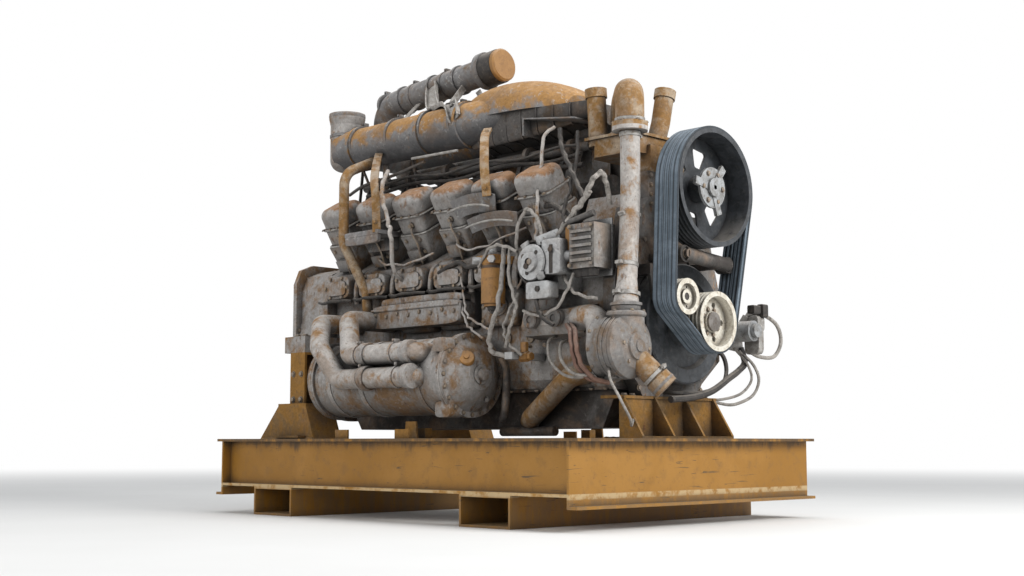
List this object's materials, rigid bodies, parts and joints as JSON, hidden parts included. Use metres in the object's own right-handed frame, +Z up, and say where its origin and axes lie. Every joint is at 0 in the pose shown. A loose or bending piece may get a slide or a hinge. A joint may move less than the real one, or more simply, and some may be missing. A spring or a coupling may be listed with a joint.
{
  "type": "industrial diesel engine on a steel skid",
  "caption": "Industrial V-type diesel engine with belt-driven fan pulley, oil cooler and capped pipework, standing on a fabricated steel skid with fork pockets.",
  "frame": {"origin": "on the ground under the middle of the overall box", "axes": "+X along the crankshaft to the pulley end, +Y to the far bank, +Z up"},
  "size_m": [2.78, 1.82, 2.5519],
  "materials": {
    "skid_enamel": "weathered ochre enamel with grime and scratches",
    "dusty_casting": "dusty grey paint over iron with rust and ochre patches",
    "ochre_casting": "ochre enamel, rubbed and dusty",
    "oily_steel": "dark oily steel",
    "bare_aluminium": "dull cast aluminium",
    "cream_pulley": "cream enamel with dust",
    "black_pulley": "black enamel, dusty",
    "belt_rubber": "worn grey-blue rubber",
    "cap_plastic": "faded orange moulded cap",
    "pipe_steel": "dusty painted pipe with rust",
    "machined_steel": "machined steel under a film of oil"
  },
  "bodies": {
    "engine": {"side_beams": "skid_enamel", "end_beams": "skid_enamel", "cross_beams": "skid_enamel", "fork_tubes": "skid_enamel", "front_support": "skid_enamel", "rear_supports": "skid_enamel", "engine_block": "dusty_casting", "oil_pan": "oily_steel", "front_housing": "dusty_casting", "flywheel_housing": "dusty_casting", "crankcase_doors": "dusty_casting", "cylinder_heads_left": "dusty_casting", "cylinder_heads_right": "dusty_casting", "valve_covers_left": "dusty_casting", "valve_covers_right": "dusty_casting", "plenum_brackets": "pipe_steel", "inlet_cups": "dusty_casting", "air_ducts": "ochre_casting", "rear_crossover": "pipe_steel", "exhaust_manifold": "oily_steel", "exhaust_pipe": "pipe_steel", "exhaust_cap": "cap_plastic", "charge_air_box": "dusty_casting", "air_plenum": "ochre_casting", "pedestals": "dusty_casting", "thermostat_housing": "ochre_casting", "outlet_stubs": "ochre_casting", "top_elbow": "ochre_casting", "coolant_pipe": "pipe_steel", "water_pump": "dusty_casting", "pump_outlet": "ochre_casting", "oil_cooler": "dusty_casting", "cooler_brackets": "dusty_casting", "cooler_pipes": "pipe_steel", "sump_pipe": "ochre_casting", "side_casting": "dusty_casting", "fuel_filter": "cap_plastic", "fuel_pump": "bare_aluminium", "control_unit": "bare_aluminium", "drain_pipe": "ochre_casting", "fan_bracket": "dusty_casting", "idler_bracket": "oily_steel", "belt_tensioner": "oily_steel", "front_sensor_unit": "bare_aluminium", "drive_belt": "belt_rubber"},
    "fan": {"fan_pulley": "black_pulley", "fan_hub": "bare_aluminium"},
    "idler": {"idler_pulley": "cream_pulley"},
    "crank": {"crankshaft": "machined_steel", "crank_damper": "black_pulley", "drive_pulley": "cream_pulley", "flywheel": "machined_steel"}
  },
  "joints": [
    {"name": "crank_turn", "type": "hinge", "parent": "engine", "child": "crank", "pos_m": [1.3, 0, 0.95], "axis": [1, 0, 0], "continuous": true},
    {"name": "fan_turn", "type": "hinge", "parent": "engine", "child": "fan", "pos_m": [1.3, 0, 1.59], "axis": [1, 0, 0], "continuous": true},
    {"name": "idler_turn", "type": "hinge", "parent": "engine", "child": "idler", "pos_m": [1.3, -0.23, 1.052], "axis": [1, 0, 0], "continuous": true}
  ],
  "couplings": [
    {"joint": "fan_turn", "follows": "crank_turn", "ratio": 0.49825},
    {"joint": "idler_turn", "follows": "crank_turn", "ratio": 1.6905}
  ]
}
